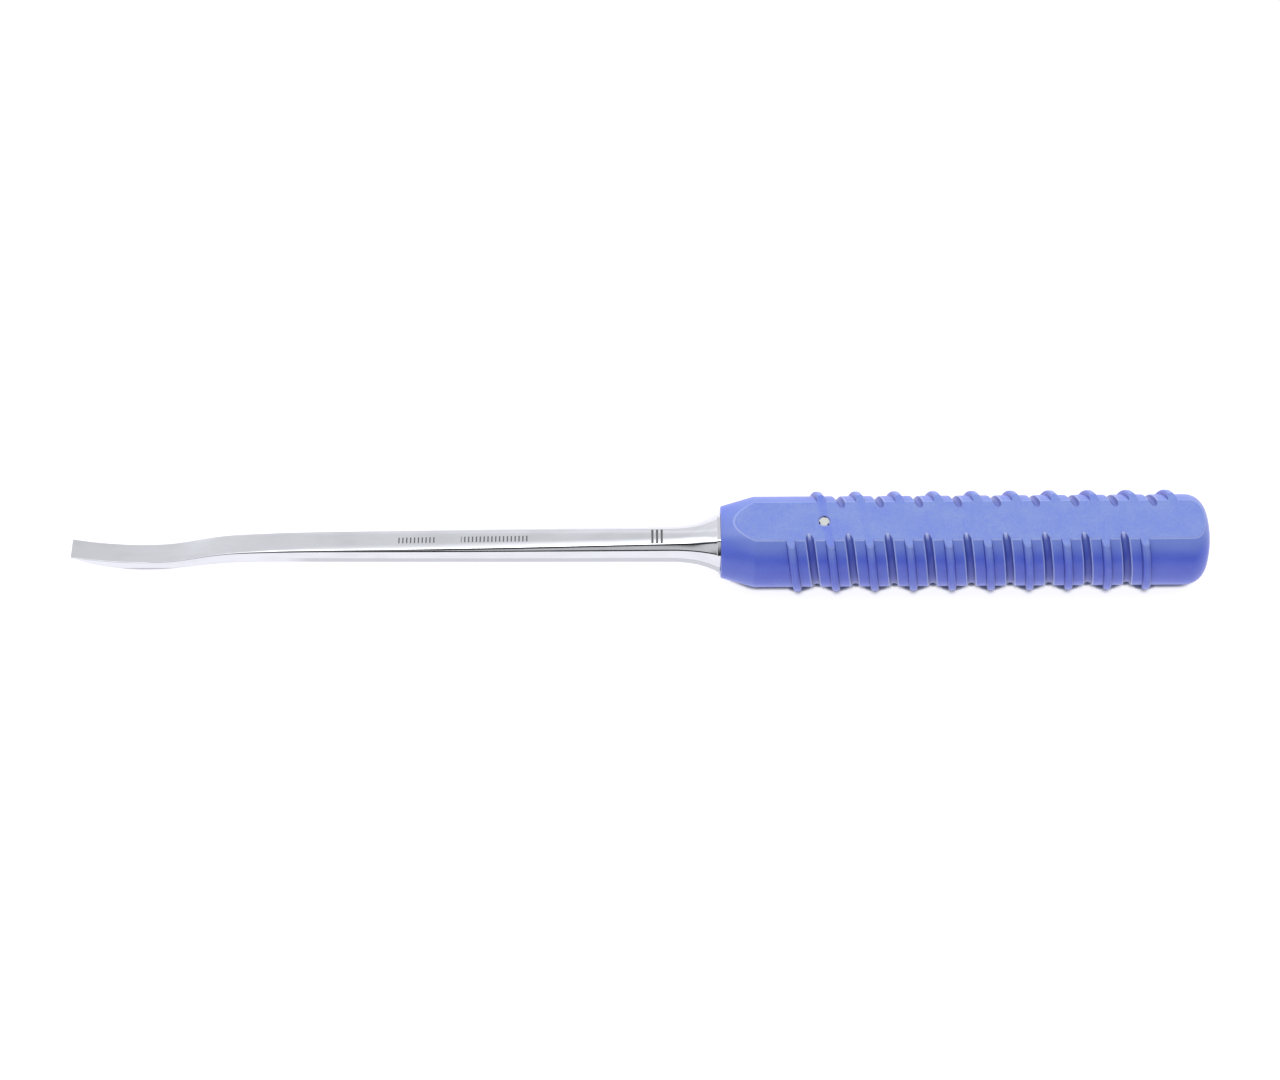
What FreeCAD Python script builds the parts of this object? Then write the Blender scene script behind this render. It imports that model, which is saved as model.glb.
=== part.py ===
import FreeCAD, Part
import os
import Sketcher

# Long surgical elevator: an S-bent chisel blade on an eight-sided steel shank, held by a tang, an
# adhesive bond and a grooved cross pin in a blue polymer grip with a helical rib and groove.
#
# Every sub-part is drawn in the grip's own axes: X runs along the grip's axis from its front face
# towards the butt (the blade is at negative X), Z is square to the two flats and Y is across them.
# A Placement then moves all sub-parts so that the row's origin lies in the middle of the lower flat,
# on which the instrument rests.

DIMENSIONS = {
    # grip
    "grip_length": 126.0,
    "grip_diameter": 23.4,
    "nose_diameter": 18.5,
    "nose_length": 8.5,
    "flat_spacing": 20.6,
    "butt_fillet": 5.0,
    "butt_crown_radius": 26.0,
    "helix_pitch": 10.0,
    "rib_start": 16.6,
    "rib_turns": 10,
    "rib_width": 1.9,
    "rib_height": 1.2,
    "rib_corner_radius": 0.7,
    "rib_root_depth": 0.3,
    "groove_start": 21.6,
    "groove_turns": 9,
    "groove_width": 2.2,
    "groove_depth": 1.0,
    # tang, bond and pin
    "bore_diameter": 9.4,
    "bore_length": 114.0,
    "tang_diameter": 9.0,
    "tang_length": 112.0,
    "tang_end_chamfer": 1.0,
    "pin_diameter": 3.0,
    "pin_place": 26.3,
    "pin_recess": 0.15,
    "pin_end_chamfer": 0.4,
    "pin_notch_radius": 0.38,
    # resting place
    "origin_from_front": 65.0,
}

# Where the pin's first notch is, in degrees from X about the pin's axis.
PIN_NOTCH_TURN = 80

# Sections of the forging, each an octagon square to X: place along X, height of its upper and lower
# face above the grip's axis, width across, and the leg of its four 45 degree chamfers.
SECTION_FIELDS = ("place", "upper", "lower", "width", "chamfer")
COLLAR = ("collar", (-1.05, 6.75, -7.65, 13.2, 3.0))
FLARE = (
    ("flare_rim", (-1.05, 6.6, -7.5, 12.9, 2.95)),
    ("flare_outer", (-3.9, 5.05, -6.7, 10.35, 2.3)),
    ("flare_inner", (-7.4, 3.85, -6.05, 8.45, 1.72)),
    ("flare_root", (-12.0, 3.35, -5.7, 7.6, 1.5)),
)
SHANK = (
    ("shank_root", (-12.0, 3.35, -5.7, 7.6, 1.5)),
    ("shank_middle", (-57.0, 2.45, -5.0, 7.2, 0.95)),
    ("shank_end", (-108.0, 1.6, -4.35, 6.3, 0.48)),
)
BLADE = (
    ("blade_neck", (-108.0, 1.6, -4.35, 6.3, 0.48)),
    ("bend_entry", (-115.2, 1.25, -4.25, 6.15, 0.38)),
    ("bend_shoulder", (-121.2, 0.85, -4.2, 6.0, 0.26)),
    ("bend_upper", (-127.2, 0.3, -4.4, 5.85, 0.15)),
    ("bend_middle", (-133.2, -1.1, -5.3, 5.75, 0.12)),
    ("bend_lower", (-139.2, -2.9, -6.55, 5.65, 0.12)),
    ("belly_front", (-145.2, -4.05, -7.65, 5.55, 0.12)),
    ("belly_back", (-151.2, -4.15, -7.8, 5.5, 0.12)),
    ("blade_rise", (-157.2, -3.6, -6.95, 5.5, 0.12)),
    ("bevel_middle", (-163.2, -2.55, -5.05, 5.5, 0.12)),
    ("edge", (-168.1, -1.1, -1.35, 5.5, 0.06)),
)


def make_sheet(document):
    """Put the driving dimensions and the forging's sections in a spreadsheet, one alias each."""
    cells = dict(DIMENSIONS)
    for name, values in (COLLAR,) + FLARE + SHANK + BLADE:
        for field, value in zip(SECTION_FIELDS, values):
            cells[f"{name}_{field}"] = value
    sheet = document.addObject("Spreadsheet::Sheet", "Sheet")
    for row, (alias, value) in enumerate(cells.items(), start=1):
        sheet.set(f"A{row}", alias)
        sheet.set(f"B{row}", str(value))
        sheet.setAlias(f"B{row}", alias)
    document.recompute()
    return sheet


def make_body(document, label):
    """A body whose Placement carries the grip's axes to the row's axes."""
    body = document.addObject("PartDesign::Body", label)
    body.Label = label
    body.setExpression("Placement.Base.x", "-Sheet.origin_from_front")
    body.setExpression("Placement.Base.z", "Sheet.flat_spacing / 2")
    return body


def origin_feature(body, role):
    """The body's own origin plane or axis with this role."""
    return next(item for item in body.Origin.OriginFeatures if item.Role == role)


def make_sketch(body, name, plane, offset=None):
    """A sketch on one of the body's origin planes, shifted along its normal by an expression."""
    sketch = body.newObject("Sketcher::SketchObject", name)
    sketch.AttachmentSupport = (origin_feature(body, plane), [""])
    sketch.MapMode = "FlatFace"
    if offset:
        sketch.setExpression("AttachmentOffset.Base.z", offset)
    return sketch


def drive(sketch, kind, *where, size):
    """Add a driving constraint whose value is an expression on the sheet."""
    value = sketch.evalExpression(size)
    value = float(getattr(value, "Value", value))
    number = sketch.addConstraint(Sketcher.Constraint(kind, *where, value))
    sketch.setExpression(f"Constraints[{number}]", size)


def vector(x, y):
    """A point of a sketch."""
    return FreeCAD.Vector(x, y, 0)


def polyline(points, closed=True):
    """Line segments through the points."""
    ends = points[1:] + points[:1] if closed else points[1:]
    return [Part.LineSegment(vector(*a), vector(*b)) for a, b in zip(points, ends)]


def join_ends(sketch, first, count):
    """Tie the end of each edge of a closed outline to the start of the next."""
    for edge in range(count):
        following = first + (edge + 1) % count
        sketch.addConstraint(Sketcher.Constraint("Coincident", first + edge, 2, following, 1))


def octagon_sketch(body, name, values):
    """One section of the forging: symmetric about Z, with four equal chamfers."""
    place, upper, lower, width, chamfer = values
    half, inner = width / 2, width / 2 - chamfer
    sketch = make_sketch(body, f"{name}_section", "YZ_Plane", f"Sheet.{name}_place")
    points = [
        (-inner, upper), (inner, upper), (half, upper - chamfer), (half, lower + chamfer),
        (inner, lower), (-inner, lower), (-half, lower + chamfer), (-half, upper - chamfer),
    ]
    sketch.addGeometry(polyline(points), False)
    join_ends(sketch, 0, len(points))
    for edge in (0, 4):
        sketch.addConstraint(Sketcher.Constraint("Symmetric", edge, 1, edge, 2, -2))
    sketch.addConstraint(Sketcher.Constraint("Symmetric", 2, 1, 6, 2, -2))
    sketch.addConstraint(Sketcher.Constraint("Vertical", 2))
    sketch.addConstraint(Sketcher.Constraint("Vertical", 6))
    sketch.addConstraint(Sketcher.Constraint("Horizontal", 2, 2, 6, 1))
    drive(sketch, "DistanceY", -1, 1, 0, 1, size=f"Sheet.{name}_upper")
    drive(sketch, "DistanceY", -1, 1, 4, 1, size=f"Sheet.{name}_lower")
    drive(sketch, "DistanceX", -1, 1, 2, 1, size=f"Sheet.{name}_width / 2")
    drive(sketch, "DistanceX", 0, 2, 2, 1, size=f"Sheet.{name}_chamfer")
    drive(sketch, "DistanceY", 2, 1, 0, 2, size=f"Sheet.{name}_chamfer")
    drive(sketch, "DistanceX", 4, 1, 2, 2, size=f"Sheet.{name}_chamfer")
    drive(sketch, "DistanceY", 4, 1, 2, 2, size=f"Sheet.{name}_chamfer")
    return sketch


def circle_sketch(body, name, plane, diameter, along=None):
    """A circle centred on the origin, or at a distance along the sketch's first axis."""
    sketch = make_sketch(body, name, plane)
    sketch.addGeometry(Part.Circle(vector(0, 0), FreeCAD.Vector(0, 0, 1), 1.0), False)
    if along:
        sketch.addConstraint(Sketcher.Constraint("PointOnObject", 0, 3, -1))
        drive(sketch, "DistanceX", -1, 1, 0, 3, size=along)
    else:
        sketch.addConstraint(Sketcher.Constraint("Coincident", 0, 3, -1, 1))
    drive(sketch, "Diameter", 0, size=diameter)
    return sketch


def pad(body, name, sketch, length, midplane=False):
    """Pad a sketch by an expression on the sheet."""
    feature = body.newObject("PartDesign::Pad", name)
    feature.Profile = sketch
    feature.Midplane = midplane
    feature.setExpression("Length", length)
    return feature


def pocket(body, name, sketch, length, reverse=False, midplane=False):
    """Cut a sketch out of the body and make sure that it removed something."""
    body.Document.recompute()
    before = body.Shape.Volume
    feature = body.newObject("PartDesign::Pocket", name)
    feature.Profile = sketch
    feature.Reversed = reverse
    feature.Midplane = midplane
    feature.setExpression("Length", length)
    body.Document.recompute()
    if not body.Shape.Volume < before:
        raise RuntimeError(f"{name} removed nothing")
    return feature


def cross_hole(body):
    """The pin's hole, square to the flats and right through."""
    sketch = circle_sketch(
        body, "pin_hole_sketch", "XY_Plane", "Sheet.pin_diameter", along="Sheet.pin_place")
    return pocket(body, "pin_hole", sketch, "Sheet.grip_diameter * 2", midplane=True)


def chamfer(body, name, size, wanted):
    """Chamfer the edges of the body's last feature that the test picks out."""
    base = body.Tip
    edges = [f"Edge{number}" for number, edge in enumerate(base.Shape.Edges, start=1) if wanted(edge)]
    feature = body.newObject("PartDesign::Chamfer", name)
    feature.Base = (base, edges)
    feature.setExpression("Size", size)
    return feature


def is_tang_end(edge):
    """Whether an edge is the rim of the tang's free end."""
    return edge.BoundBox.XMin > DIMENSIONS["tang_length"] - 0.01


def loft(body, name, sections):
    """A solid through the octagons of these sections."""
    sketches = [octagon_sketch(body, section, values) for section, values in sections]
    feature = body.newObject("PartDesign::AdditiveLoft", name)
    feature.Profile = sketches[0]
    feature.Sections = sketches[1:]
    return feature


def make_blade_shank(document):
    """The forging: collar, trumpet flare, tapering shank, S-bent chisel blade and round tang."""
    body = make_body(document, "blade_shank")
    collar = octagon_sketch(body, *COLLAR)
    pad(body, "collar", collar, "-Sheet.collar_place")
    loft(body, "flare", FLARE)
    loft(body, "shank", SHANK)
    loft(body, "blade", BLADE)
    tang = circle_sketch(body, "tang_sketch", "YZ_Plane", "Sheet.tang_diameter")
    pad(body, "tang", tang, "Sheet.tang_length")
    document.recompute()
    chamfer(body, "tang_end", "Sheet.tang_end_chamfer", is_tang_end)
    cross_hole(body)
    return body


def bar_sketch(body):
    """Half outline of the turned bar: nose, cone, barrel, butt fillet and crowned end."""
    length, radius = DIMENSIONS["grip_length"], DIMENSIONS["grip_diameter"] / 2
    nose, cone = DIMENSIONS["nose_diameter"] / 2, DIMENSIONS["nose_length"]
    fillet, crown = DIMENSIONS["butt_fillet"], DIMENSIONS["butt_crown_radius"]
    # The fillet touches the barrel and, further in, the crown, so both circles' centres and the point
    # where they meet are on one line.
    crown_centre = vector(length - crown, 0)
    reach = ((crown - fillet) ** 2 - (radius - fillet) ** 2) ** 0.5
    fillet_centre = crown_centre + vector(reach, radius - fillet)
    outward = (fillet_centre - crown_centre).normalize()
    meeting = crown_centre + outward * crown
    fillet_middle = fillet_centre + (outward + vector(0, 1)).normalize() * fillet
    crown_middle = crown_centre + (outward + vector(1, 0)).normalize() * crown
    barrel_end = (fillet_centre.x, radius)
    sketch = make_sketch(body, "bar_sketch", "XZ_Plane")
    outline = polyline([(length, 0), (0, 0), (0, nose), (cone, radius), barrel_end], closed=False)
    outline.append(Part.Arc(vector(*barrel_end), fillet_middle, meeting))
    outline.append(Part.Arc(meeting, crown_middle, vector(length, 0)))
    sketch.addGeometry(outline, False)
    axis, front, cone_edge, barrel, fillet_edge, crown_edge = range(6)
    for edge, following in ((axis, front), (front, cone_edge), (cone_edge, barrel)):
        sketch.addConstraint(Sketcher.Constraint("Coincident", edge, 2, following, 1))
    sketch.addConstraint(Sketcher.Constraint("Tangent", barrel, 2, fillet_edge, 2))
    sketch.addConstraint(Sketcher.Constraint("Tangent", fillet_edge, 1, crown_edge, 2))
    sketch.addConstraint(Sketcher.Constraint("Coincident", crown_edge, 1, axis, 1))
    sketch.addConstraint(Sketcher.Constraint("Coincident", axis, 2, -1, 1))
    sketch.addConstraint(Sketcher.Constraint("Horizontal", axis))
    sketch.addConstraint(Sketcher.Constraint("Vertical", front))
    sketch.addConstraint(Sketcher.Constraint("Horizontal", barrel))
    sketch.addConstraint(Sketcher.Constraint("PointOnObject", crown_edge, 3, -1))
    drive(sketch, "DistanceX", -1, 1, axis, 1, size="Sheet.grip_length")
    drive(sketch, "DistanceY", -1, 1, front, 2, size="Sheet.nose_diameter / 2")
    drive(sketch, "DistanceY", -1, 1, barrel, 1, size="Sheet.grip_diameter / 2")
    drive(sketch, "DistanceX", -1, 1, barrel, 1, size="Sheet.nose_length")
    drive(sketch, "Radius", fillet_edge, size="Sheet.butt_fillet")
    drive(sketch, "Radius", crown_edge, size="Sheet.butt_crown_radius")
    return sketch


def rib_sketch(body):
    """Section of the rib at the top of the bar: straight flanks under two rounded corners."""
    start, radius = DIMENSIONS["rib_start"], DIMENSIONS["grip_diameter"] / 2
    half, corner = DIMENSIONS["rib_width"] / 2, DIMENSIONS["rib_corner_radius"]
    root, crest = radius - DIMENSIONS["rib_root_depth"], radius + DIMENSIONS["rib_height"]
    middle = corner * 0.5 ** 0.5
    sketch = make_sketch(body, "rib_sketch", "XZ_Plane")
    left, right = start - half, start + half
    sketch.addGeometry([
        Part.LineSegment(vector(right, root), vector(left, root)),
        Part.LineSegment(vector(left, root), vector(left, crest - corner)),
        Part.Arc(
            vector(left, crest - corner),
            vector(left + corner - middle, crest - corner + middle),
            vector(left + corner, crest)),
        Part.LineSegment(vector(left + corner, crest), vector(right - corner, crest)),
        Part.Arc(
            vector(right - corner, crest),
            vector(right - corner + middle, crest - corner + middle),
            vector(right, crest - corner)),
        Part.LineSegment(vector(right, crest - corner), vector(right, root)),
    ], False)
    base, left_flank, left_arc, top, right_arc, right_flank = range(6)
    sketch.addConstraint(Sketcher.Constraint("Coincident", base, 2, left_flank, 1))
    sketch.addConstraint(Sketcher.Constraint("Tangent", left_flank, 2, left_arc, 2))
    sketch.addConstraint(Sketcher.Constraint("Tangent", left_arc, 1, top, 1))
    sketch.addConstraint(Sketcher.Constraint("Tangent", top, 2, right_arc, 2))
    sketch.addConstraint(Sketcher.Constraint("Tangent", right_arc, 1, right_flank, 1))
    sketch.addConstraint(Sketcher.Constraint("Coincident", right_flank, 2, base, 1))
    sketch.addConstraint(Sketcher.Constraint("Horizontal", base))
    sketch.addConstraint(Sketcher.Constraint("Horizontal", top))
    sketch.addConstraint(Sketcher.Constraint("Vertical", left_flank))
    sketch.addConstraint(Sketcher.Constraint("Vertical", right_flank))
    sketch.addConstraint(Sketcher.Constraint("Equal", left_arc, right_arc))
    drive(sketch, "Radius", left_arc, size="Sheet.rib_corner_radius")
    drive(sketch, "DistanceX", -1, 1, base, 2, size="Sheet.rib_start - Sheet.rib_width / 2")
    drive(sketch, "DistanceX", -1, 1, base, 1, size="Sheet.rib_start + Sheet.rib_width / 2")
    drive(sketch, "DistanceY", -1, 1, base, 1, size="Sheet.grip_diameter / 2 - Sheet.rib_root_depth")
    drive(sketch, "DistanceY", -1, 1, top, 1, size="Sheet.grip_diameter / 2 + Sheet.rib_height")
    return sketch


def groove_sketch(body):
    """Section of the groove: a round-nosed cutter as wide as the groove, standing out of the bar."""
    start, radius = DIMENSIONS["groove_start"], DIMENSIONS["grip_diameter"] / 2
    nose = DIMENSIONS["groove_width"] / 2
    centre = radius - DIMENSIONS["groove_depth"] + nose
    mouth = radius + DIMENSIONS["groove_width"]
    sketch = make_sketch(body, "groove_sketch", "XZ_Plane")
    left, right = start - nose, start + nose
    sketch.addGeometry([
        Part.LineSegment(vector(right, mouth), vector(left, mouth)),
        Part.LineSegment(vector(left, mouth), vector(left, centre)),
        Part.Arc(vector(left, centre), vector(start, centre - nose), vector(right, centre)),
        Part.LineSegment(vector(right, centre), vector(right, mouth)),
    ], False)
    top, left_flank, floor, right_flank = range(4)
    sketch.addConstraint(Sketcher.Constraint("Coincident", top, 2, left_flank, 1))
    sketch.addConstraint(Sketcher.Constraint("Tangent", left_flank, 2, floor, 1))
    sketch.addConstraint(Sketcher.Constraint("Tangent", floor, 2, right_flank, 1))
    sketch.addConstraint(Sketcher.Constraint("Coincident", right_flank, 2, top, 1))
    sketch.addConstraint(Sketcher.Constraint("Horizontal", top))
    sketch.addConstraint(Sketcher.Constraint("Vertical", left_flank))
    sketch.addConstraint(Sketcher.Constraint("Vertical", right_flank))
    drive(sketch, "DistanceX", -1, 1, top, 2, size="Sheet.groove_start - Sheet.groove_width / 2")
    drive(sketch, "DistanceX", -1, 1, top, 1, size="Sheet.groove_start + Sheet.groove_width / 2")
    drive(sketch, "DistanceY", -1, 1, top, 1, size="Sheet.grip_diameter / 2 + Sheet.groove_width")
    drive(
        sketch, "DistanceY", -1, 1, floor, 3,
        size="Sheet.grip_diameter / 2 - Sheet.groove_depth + Sheet.groove_width / 2")
    return sketch


def helix(body, kind, name, sketch, turns):
    """Sweep a section along a right-handed helix about the grip's axis."""
    feature = body.newObject(f"PartDesign::{kind}", name)
    feature.Profile = sketch
    feature.ReferenceAxis = (origin_feature(body, "X_Axis"), [""])
    feature.Mode = "pitch-turns-angle"
    feature.LeftHanded = False
    feature.setExpression("Pitch", "Sheet.helix_pitch")
    feature.setExpression("Turns", turns)
    return feature


def flats_sketch(body):
    """What the two flats take away, as seen along the axis: a slab above and a slab below."""
    sketch = make_sketch(body, "flats_sketch", "YZ_Plane")
    reach, inside = DIMENSIONS["grip_diameter"], DIMENSIONS["flat_spacing"] / 2
    for first, sign in ((0, 1), (4, -1)):
        near, far = sign * inside, sign * reach
        sketch.addGeometry(polyline([(-reach, near), (reach, near), (reach, far), (-reach, far)]), False)
        join_ends(sketch, first, 4)
        sketch.addConstraint(Sketcher.Constraint("Symmetric", first, 1, first, 2, -2))
        sketch.addConstraint(Sketcher.Constraint("Symmetric", first + 2, 1, first + 2, 2, -2))
        sketch.addConstraint(Sketcher.Constraint("Vertical", first + 1))
        drive(sketch, "DistanceX", -1, 1, first, 2, size="Sheet.grip_diameter")
        drive(sketch, "DistanceY", -1, 1, first, 1, size=f"{sign} * Sheet.flat_spacing / 2")
        drive(sketch, "DistanceY", -1, 1, first + 2, 1, size=f"{sign} * Sheet.grip_diameter")
    return sketch


def make_handle_grip(document):
    """The grip: turned bar, helical rib and groove, two flats, tang bore and pin hole."""
    body = make_body(document, "handle_grip")
    outline = bar_sketch(body)
    bar = body.newObject("PartDesign::Revolution", "bar")
    bar.Profile = outline
    bar.ReferenceAxis = (outline, ["H_Axis"])
    bar.Angle = 360.0
    helix(body, "AdditiveHelix", "rib", rib_sketch(body), "Sheet.rib_turns")
    document.recompute()
    helix(body, "SubtractiveHelix", "groove", groove_sketch(body), "Sheet.groove_turns")
    pocket(body, "flats", flats_sketch(body), "Sheet.grip_length", reverse=True)
    bore = circle_sketch(body, "bore_sketch", "YZ_Plane", "Sheet.bore_diameter")
    pocket(body, "tang_bore", bore, "Sheet.bore_length", reverse=True)
    cross_hole(body)
    return body


def make_tang_bond(document):
    """The cured adhesive: a sleeve round the tang with a plug at the blind end of the bore."""
    body = make_body(document, "tang_bond")
    outer = circle_sketch(body, "bond_outer_sketch", "YZ_Plane", "Sheet.bore_diameter")
    pad(body, "bond_outer", outer, "Sheet.bore_length")
    inner = circle_sketch(body, "bond_inner_sketch", "YZ_Plane", "Sheet.tang_diameter")
    pocket(body, "bond_inner", inner, "Sheet.tang_length", reverse=True)
    cross_hole(body)
    return body


def make_cross_pin(document):
    """The grooved pin: chamfered ends and three notches rolled along its whole length."""
    body = make_body(document, "cross_pin")
    outline = circle_sketch(
        body, "pin_sketch", "XY_Plane", "Sheet.pin_diameter", along="Sheet.pin_place")
    pad(body, "pin", outline, "Sheet.flat_spacing - 2 * Sheet.pin_recess", midplane=True)
    document.recompute()
    chamfer(body, "pin_ends", "Sheet.pin_end_chamfer", lambda edge: isinstance(edge.Curve, Part.Circle))
    notch = make_sketch(body, "notch_sketch", "XY_Plane")
    notch_radius = DIMENSIONS["pin_notch_radius"]
    third = FreeCAD.Rotation(FreeCAD.Vector(0, 0, 1), 120)
    first = FreeCAD.Rotation(FreeCAD.Vector(0, 0, 1), PIN_NOTCH_TURN)
    arm = first.multVec(FreeCAD.Vector(DIMENSIONS["pin_diameter"] / 2, 0, 0))
    centre = vector(DIMENSIONS["pin_place"], 0)
    for number in range(3):
        notch.addGeometry(Part.Circle(centre + arm, FreeCAD.Vector(0, 0, 1), notch_radius), False)
        arm = third.multVec(arm)
        drive(notch, "Radius", number, size="Sheet.pin_notch_radius")
        turn = f"{PIN_NOTCH_TURN + 120 * number} deg"
        drive(
            notch, "DistanceX", -1, 1, number, 3,
            size=f"Sheet.pin_place + Sheet.pin_diameter / 2 * cos({turn})")
        drive(notch, "DistanceY", -1, 1, number, 3, size=f"Sheet.pin_diameter / 2 * sin({turn})")
    pocket(body, "notches", notch, "Sheet.grip_diameter", midplane=True)
    return body


def check(document, bodies):
    """Stop if any object failed to build or any sub-part isn't one valid solid."""
    for item in document.Objects:
        if "Invalid" in item.State or "Error" in item.State:
            raise RuntimeError(f"{item.Name} failed: {item.State}")
    for body in bodies:
        shape = body.Shape
        if shape.isNull() or not shape.isValid() or len(shape.Solids) != 1:
            raise RuntimeError(f"{body.Label} isn't one valid solid")
        box = shape.optimalBoundingBox()
        print(f"{body.Label}: {shape.Volume:.1f} mm3, X {box.XMin:.2f} to {box.XMax:.2f}, "
              f"Y {box.YMin:.2f} to {box.YMax:.2f}, Z {box.ZMin:.2f} to {box.ZMax:.2f}")


def main():
    """Build the four sub-parts, check them and write one STEP file for each."""
    document = FreeCAD.newDocument("SurgicalElevator")
    make_sheet(document)
    bodies = [
        make_blade_shank(document),
        make_handle_grip(document),
        make_tang_bond(document),
        make_cross_pin(document),
    ]
    document.recompute()
    check(document, bodies)
    os.makedirs("parts", exist_ok=True)
    for body in bodies:
        body.Shape.exportStep(f"parts/{body.Label}.step")


main()
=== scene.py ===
"""Visual model of a long surgical elevator: ground steel forging, helically ribbed grip, pin and bond."""

from __future__ import annotations

import logging
import math
from dataclasses import dataclass, field
from enum import Enum
from functools import reduce
from typing import Any, Callable, Iterable, Sequence

import bmesh
import bpy
from bpy.types import ID, Material, Mesh, Node, NodeSocket, NodeTree, Object
from mathutils import Matrix, Vector


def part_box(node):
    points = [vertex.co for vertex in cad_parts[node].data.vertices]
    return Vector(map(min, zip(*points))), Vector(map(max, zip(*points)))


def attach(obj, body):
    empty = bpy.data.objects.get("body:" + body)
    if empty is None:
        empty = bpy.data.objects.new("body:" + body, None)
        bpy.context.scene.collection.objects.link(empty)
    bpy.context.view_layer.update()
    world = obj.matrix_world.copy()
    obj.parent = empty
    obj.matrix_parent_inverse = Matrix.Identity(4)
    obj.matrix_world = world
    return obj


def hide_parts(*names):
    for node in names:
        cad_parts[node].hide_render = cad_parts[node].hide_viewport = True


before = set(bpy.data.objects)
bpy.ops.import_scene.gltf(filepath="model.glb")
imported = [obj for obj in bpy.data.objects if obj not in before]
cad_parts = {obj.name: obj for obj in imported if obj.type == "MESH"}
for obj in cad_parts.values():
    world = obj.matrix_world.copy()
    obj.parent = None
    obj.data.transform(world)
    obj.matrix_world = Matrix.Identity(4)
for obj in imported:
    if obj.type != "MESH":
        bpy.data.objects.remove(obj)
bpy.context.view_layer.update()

MM = 0.001
SEAM = 1.5e-6
BODY = "root"
LOG = logging.getLogger("elevator")

Link = Any
Number = float | int
Point = tuple[float, float]
Tint = tuple[int, int, int]
Colour = tuple[float, float, float, float]


# ---- Node trees written as Python ----


def operator(kind: str, swapped: bool = False) -> Callable[[Value, Value | Number], Value]:
    """A method that adds a Math node of this kind, with its operands swapped in a reflected form."""
    def method(self: Value, other: Value | Number) -> Value:
        """The node's result."""
        return self.tree.math(kind, *((other, self) if swapped else (self, other)))
    return method


class Value:
    """A number socket that can be used in Python arithmetic; each operation adds a Math node."""

    __add__, __radd__ = operator("ADD"), operator("ADD", True)
    __sub__, __rsub__ = operator("SUBTRACT"), operator("SUBTRACT", True)
    __mul__, __rmul__ = operator("MULTIPLY"), operator("MULTIPLY", True)
    __truediv__, __rtruediv__ = operator("DIVIDE"), operator("DIVIDE", True)
    __gt__, __lt__ = operator("GREATER_THAN"), operator("LESS_THAN")

    def __init__(self, tree: Tree, socket: NodeSocket) -> None:
        """Wrap a socket of a tree."""
        self.tree = tree
        self.socket = socket

    def __abs__(self) -> Value:
        """Size without its sign."""
        return self.tree.math("ABSOLUTE", self)

    def step(self, low: float, high: float) -> Value:
        """A smooth step from 0 at low to 1 at high; high may be below low."""
        return self.tree.node(
            "ShaderNodeMapRange", {"interpolation_type": "SMOOTHSTEP"},
            {0: self, 1: low, 2: high, 3: 0.0, 4: 1.0}).value(0)


class Made:
    """A node that was just made, with its outputs as values or plain sockets."""

    def __init__(self, tree: Tree, node: Node) -> None:
        """Wrap a node of a tree."""
        self.tree = tree
        self.node = node

    def value(self, output: int | str = 0) -> Value:
        """One output, for arithmetic."""
        return Value(self.tree, self.node.outputs[output])

    def out(self, output: int | str = 0) -> NodeSocket:
        """One output, as a socket."""
        return self.node.outputs[output]


class Tree:
    """Adds nodes to a shader or geometry node tree."""

    def __init__(self, tree: NodeTree) -> None:
        """Start with an empty tree."""
        self.tree = tree
        self.tree.nodes.clear()

    def node(
        self, kind: str, settings: dict[str, Any] | None = None,
        sockets: dict[int | str, Link] | None = None,
    ) -> Made:
        """Add a node.

        Args:
            kind: the node's type.
            settings: attributes of the node, set before its sockets.
            sockets: values or links for its inputs, by name or number.

        Returns:
            The new node.
        """
        node = self.tree.nodes.new(kind)
        for name, setting in (settings or {}).items():
            setattr(node, name, setting)
        for name, link in (sockets or {}).items():
            self.feed(node.inputs[name], link)
        return Made(self, node)

    def feed(self, socket: NodeSocket, link: Link) -> None:
        """Set an input to a value or join it to an output."""
        if isinstance(link, Value):
            link = link.socket
        if isinstance(link, Made):
            link = link.out()
        if isinstance(link, NodeSocket):
            self.tree.links.new(link, socket)
        else:
            socket.default_value = link

    def math(self, operation: str, *operands: Value | Number) -> Value:
        """Add a Math node and give its result."""
        return self.node("ShaderNodeMath", {"operation": operation}, dict(enumerate(operands))).value()

    def larger(self, first: Value | Number, second: Value | Number) -> Value:
        """The larger of two numbers."""
        return self.math("MAXIMUM", first, second)

    def length(self, across: Value, along: Value) -> Value:
        """Length of a line from its spans along two axes."""
        return self.math("SQRT", across * across + along * along)

    def mix_colour(self, factor: Link, first: Link, second: Link) -> NodeSocket:
        """Mix two colours by a factor."""
        made = self.node("ShaderNodeMix", {"data_type": "RGBA"}, {0: factor, 6: first, 7: second})
        return made.out(2)

    def ramp(self, factor: Link, stops: Sequence[tuple[float, tuple[float, float, float]]]) -> Made:
        """A colour ramp through these stops, each a place and a colour."""
        made = self.node("ShaderNodeValToRGB", None, {0: factor})
        elements = made.node.color_ramp.elements
        while len(elements) < len(stops):
            elements.new(1.0)
        for element, (place, colour) in zip(elements, stops):
            element.position = place
            element.color = (*colour, 1.0)
        return made


def srgb(red: int, green: int, blue: int, shade: float = 1.0) -> Colour:
    """A linear colour from a screen colour, darkened to a share of itself."""
    def linear(channel: int) -> float:
        """One channel of it."""
        share = channel / 255
        return shade * (share / 12.92 if share <= 0.04045 else ((share + 0.055) / 1.055) ** 2.4)
    return linear(red), linear(green), linear(blue), 1.0


# ---- Finishes ----


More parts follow.
